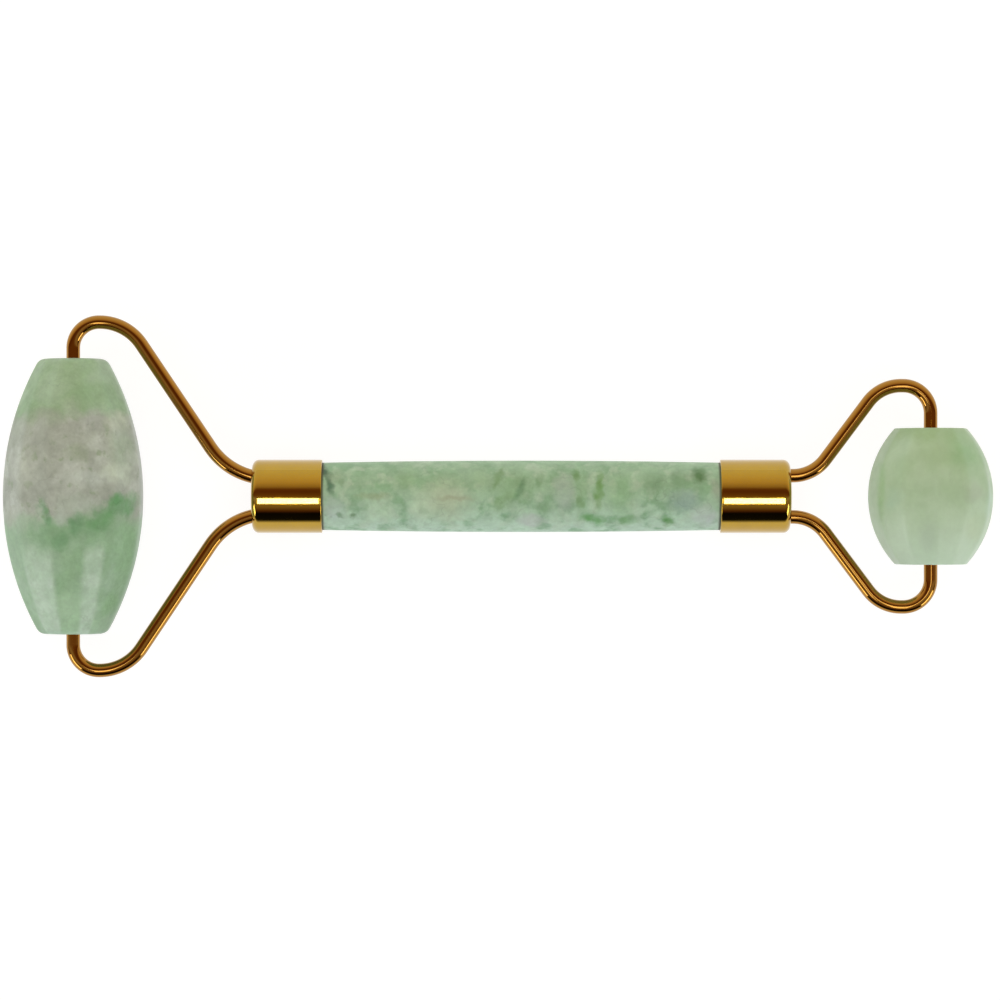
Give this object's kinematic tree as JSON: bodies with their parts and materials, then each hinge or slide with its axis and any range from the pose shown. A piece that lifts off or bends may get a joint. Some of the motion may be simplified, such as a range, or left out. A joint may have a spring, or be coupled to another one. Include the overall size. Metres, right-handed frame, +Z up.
{
  "type": "jade face roller",
  "caption": "Double-ended facial massage roller: a jade handle between two bent-wire forks, each carrying a free-turning faceted jade stone.",
  "frame": {"origin": "middle of the handle, on the handle's axis", "axes": "+X along the handle from the large roller towards the small roller, +Y along both rollers' axes, +Z up with the tool lying flat"},
  "size_m": [0.1439, 0.0528, 0.02],
  "materials": {
    "handle_jade": "gloss",
    "large_stone_jade": "gloss",
    "small_stone_jade": "gloss",
    "gilt_brass": "polished",
    "gilt_wire": "polished",
    "epoxy_resin": "satin",
    "nylon": "satin"
  },
  "bodies": {
    "handle": {"handle_rod": "handle_jade", "large_end_ferrule": "gilt_brass", "small_end_ferrule": "gilt_brass", "large_fork_arm_left": "gilt_wire", "large_fork_arm_right": "gilt_wire", "small_fork_arm_left": "gilt_wire", "small_fork_arm_right": "gilt_wire", "large_end_resin_plug": "epoxy_resin", "small_end_resin_plug": "epoxy_resin"},
    "large_roller": {"large_roller_stone": "large_stone_jade", "large_roller_bush_left": "nylon", "large_roller_bush_right": "nylon"},
    "small_roller": {"small_roller_stone": "small_stone_jade", "small_roller_bush_left": "nylon", "small_roller_bush_right": "nylon"}
  },
  "joints": [
    {"name": "large_roller_spin", "type": "hinge", "parent": "handle", "child": "large_roller", "pos_m": [-0.0652, 0, 0], "axis": [0, 1, 0], "continuous": true},
    {"name": "small_roller_spin", "type": "hinge", "parent": "handle", "child": "small_roller", "pos_m": [0.0596, 0, 0], "axis": [0, 1, 0], "continuous": true}
  ]
}
